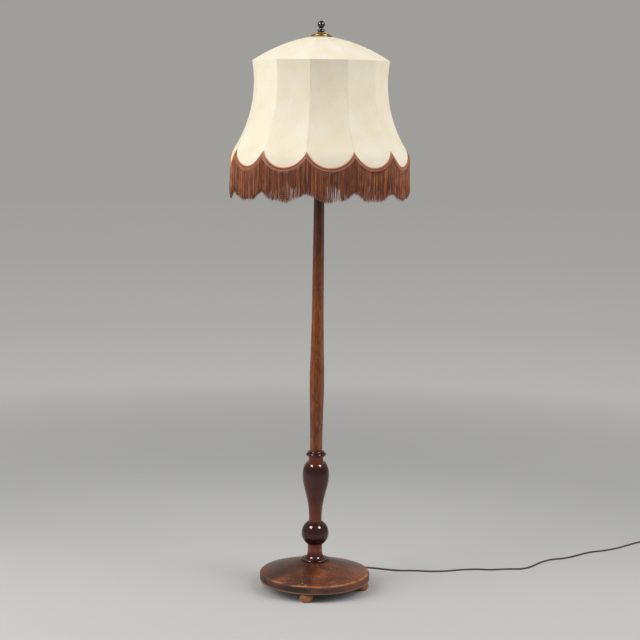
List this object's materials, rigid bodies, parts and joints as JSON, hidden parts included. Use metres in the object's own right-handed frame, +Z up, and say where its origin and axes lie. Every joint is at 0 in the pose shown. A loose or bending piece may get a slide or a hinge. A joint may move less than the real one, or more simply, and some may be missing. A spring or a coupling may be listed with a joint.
{
  "type": "floor lamp",
  "caption": "Turned wooden candlestick floor lamp on a round footed base, with a slim faceted shaft and a domed, panelled silk shade hung with a scalloped fringe.",
  "frame": {"origin": "on the floor, under the axis of the column, at the middle of the base and the shade (the loose cord, its coil and its plug lie beyond it)", "axes": "+Z up along the column, -Y towards the front that the picture shows, +X to the viewer's right, where the cord lies"},
  "size_m": [1.4824, 0.8707, 1.649],
  "materials": {
    "base_wood": "old shellac, worn at the edge",
    "foot_wood": "light stained, satin",
    "spindle_wood": "french polished, high gloss",
    "shaft_wood": "stained and polished, semi-gloss",
    "steel": "bare steel",
    "rubber": "matt",
    "brass": "aged brass, satin",
    "porcelain": "glazed white porcelain",
    "bakelite": "dark brown bakelite, polished",
    "lamp_cap": "nickelled brass",
    "lamp_glass": "opal glass",
    "frame_wire": "cream taped wire",
    "silk": "cream silk, stretched",
    "braid_cloth": "copper brown woven braid",
    "fringe_thread": "copper brown twisted rayon thread",
    "finial_metal": "dark lacquered, glossy",
    "flex": "brown sheathed flex"
  },
  "bodies": {
    "stand": {"base_disc": "base_wood", "foot_1": "foot_wood", "foot_2": "foot_wood", "foot_3": "foot_wood", "foot_4": "foot_wood", "foot_screws": "steel", "cord_bush": "rubber", "base_washer": "steel", "base_nut": "steel", "tie_tube": "steel", "lower_column": "spindle_wood", "upper_column": "shaft_wood", "column_cap": "brass", "cluster_body": "brass", "arm_right": "brass", "arm_wire_right": "flex", "holder_dish_right": "brass", "holder_shell_right": "brass", "holder_core_right": "porcelain", "arm_left": "brass", "arm_wire_left": "flex", "holder_dish_left": "brass", "holder_shell_left": "brass", "holder_core_left": "porcelain", "stem": "brass", "shade_rest": "brass", "inner_lead": "flex", "cord_run": "flex", "cord_coil": "flex", "plug_body": "bakelite", "plug_pins": "lamp_cap"},
    "shade": {"shade_hub": "frame_wire", "shade_ribs": "frame_wire", "shoulder_ring": "frame_wire", "scallop_wire": "frame_wire", "side_panel_01": "silk", "side_panel_02": "silk", "side_panel_03": "silk", "side_panel_04": "silk", "side_panel_05": "silk", "side_panel_06": "silk", "side_panel_07": "silk", "side_panel_08": "silk", "side_panel_09": "silk", "side_panel_10": "silk", "side_panel_11": "silk", "side_panel_12": "silk", "dome_gores": "silk", "braid": "braid_cloth", "fringe": "fringe_thread", "top_hat": "brass"},
    "finial_knob": {"finial": "finial_metal"},
    "bulb_right": {"bulb_cap_right": "lamp_cap", "bulb_glass_right": "lamp_glass"},
    "key_right": {"switch_key_right": "bakelite"},
    "bulb_left": {"bulb_cap_left": "lamp_cap", "bulb_glass_left": "lamp_glass"},
    "key_left": {"switch_key_left": "bakelite"}
  },
  "joints": [
    {"name": "shade_turn", "type": "hinge", "parent": "stand", "child": "shade", "pos_m": [0, 0, 1.4], "axis": [0, 0, 1], "continuous": true},
    {"name": "finial_turn", "type": "hinge", "parent": "stand", "child": "finial_knob", "pos_m": [0, 0, 1.62], "axis": [0, 0, 1], "continuous": true},
    {"name": "bulb_right_turn", "type": "hinge", "parent": "stand", "child": "bulb_right", "pos_m": [0.06, 0, 1.35], "axis": [0, 0, 1], "continuous": true},
    {"name": "key_right_turn", "type": "hinge", "parent": "stand", "child": "key_right", "pos_m": [0.08, 0, 1.309], "axis": [1, 0, 0], "continuous": true},
    {"name": "bulb_left_turn", "type": "hinge", "parent": "stand", "child": "bulb_left", "pos_m": [-0.06, 0, 1.35], "axis": [0, 0, 1], "continuous": true},
    {"name": "key_left_turn", "type": "hinge", "parent": "stand", "child": "key_left", "pos_m": [-0.08, 0, 1.309], "axis": [-1, 0, 0], "continuous": true}
  ]
}
